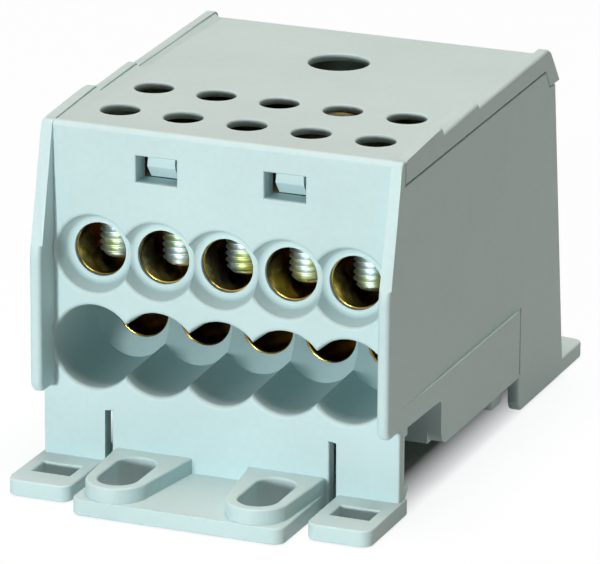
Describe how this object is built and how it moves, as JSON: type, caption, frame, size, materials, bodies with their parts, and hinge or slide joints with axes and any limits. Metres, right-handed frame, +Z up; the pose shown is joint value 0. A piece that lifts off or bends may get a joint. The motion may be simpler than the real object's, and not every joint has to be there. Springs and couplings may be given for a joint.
{
  "type": "power distribution block",
  "caption": "Power distribution block: grey moulded housing with feet and rail clip, clipped cover, and a brass bar with rows of screw-clamped outlet bores and a large inlet.",
  "frame": {"origin": "centre of the footprint, on the plane of the feet", "axes": "+Z up through the cover, -Y the side where the outgoing conductors enter, +X to the right seen from there"},
  "size_m": [0.0466, 0.079, 0.0449],
  "materials": {
    "housing": "fine satin moulding",
    "cover": "fine satin moulding",
    "bar": "drawn and drilled, uncoated",
    "screws": "zinc plated, threaded"
  },
  "bodies": {
    "block": {"housing": "housing", "top_cover": "cover", "terminal_bar": "bar"},
    "inlet_screw": {"inlet_screw": "screws"},
    "upper_screw_1": {"upper_screw_1": "screws"},
    "upper_screw_2": {"upper_screw_2": "screws"},
    "upper_screw_3": {"upper_screw_3": "screws"},
    "upper_screw_4": {"upper_screw_4": "screws"},
    "upper_screw_5": {"upper_screw_5": "screws"},
    "lower_screw_1": {"lower_screw_1": "screws"},
    "lower_screw_2": {"lower_screw_2": "screws"},
    "lower_screw_3": {"lower_screw_3": "screws"},
    "lower_screw_4": {"lower_screw_4": "screws"},
    "lower_screw_5": {"lower_screw_5": "screws"}
  },
  "joints": [
    {"name": "inlet_screw_travel", "type": "slide", "parent": "block", "child": "inlet_screw", "axis": [0, 0, 1], "range_m": [-0.0065, 0.0045]},
    {"name": "upper_screw_1_travel", "type": "slide", "parent": "block", "child": "upper_screw_1", "axis": [0, 0, 1], "range_m": [-0.0002, 0.0057]},
    {"name": "upper_screw_2_travel", "type": "slide", "parent": "block", "child": "upper_screw_2", "axis": [0, 0, 1], "range_m": [-0.0002, 0.0057]},
    {"name": "upper_screw_3_travel", "type": "slide", "parent": "block", "child": "upper_screw_3", "axis": [0, 0, 1], "range_m": [-0.0002, 0.0057]},
    {"name": "upper_screw_4_travel", "type": "slide", "parent": "block", "child": "upper_screw_4", "axis": [0, 0, 1], "range_m": [-0.0002, 0.0057]},
    {"name": "upper_screw_5_travel", "type": "slide", "parent": "block", "child": "upper_screw_5", "axis": [0, 0, 1], "range_m": [-0.0002, 0.0057]},
    {"name": "lower_screw_1_travel", "type": "slide", "parent": "block", "child": "lower_screw_1", "axis": [0, 0, 1], "range_m": [-0.0027, 0.0031]},
    {"name": "lower_screw_2_travel", "type": "slide", "parent": "block", "child": "lower_screw_2", "axis": [0, 0, 1], "range_m": [-0.0027, 0.0031]},
    {"name": "lower_screw_3_travel", "type": "slide", "parent": "block", "child": "lower_screw_3", "axis": [0, 0, 1], "range_m": [-0.0027, 0.0031]},
    {"name": "lower_screw_4_travel", "type": "slide", "parent": "block", "child": "lower_screw_4", "axis": [0, 0, 1], "range_m": [-0.0027, 0.0031]},
    {"name": "lower_screw_5_travel", "type": "slide", "parent": "block", "child": "lower_screw_5", "axis": [0, 0, 1], "range_m": [-0.0027, 0.0031]}
  ]
}
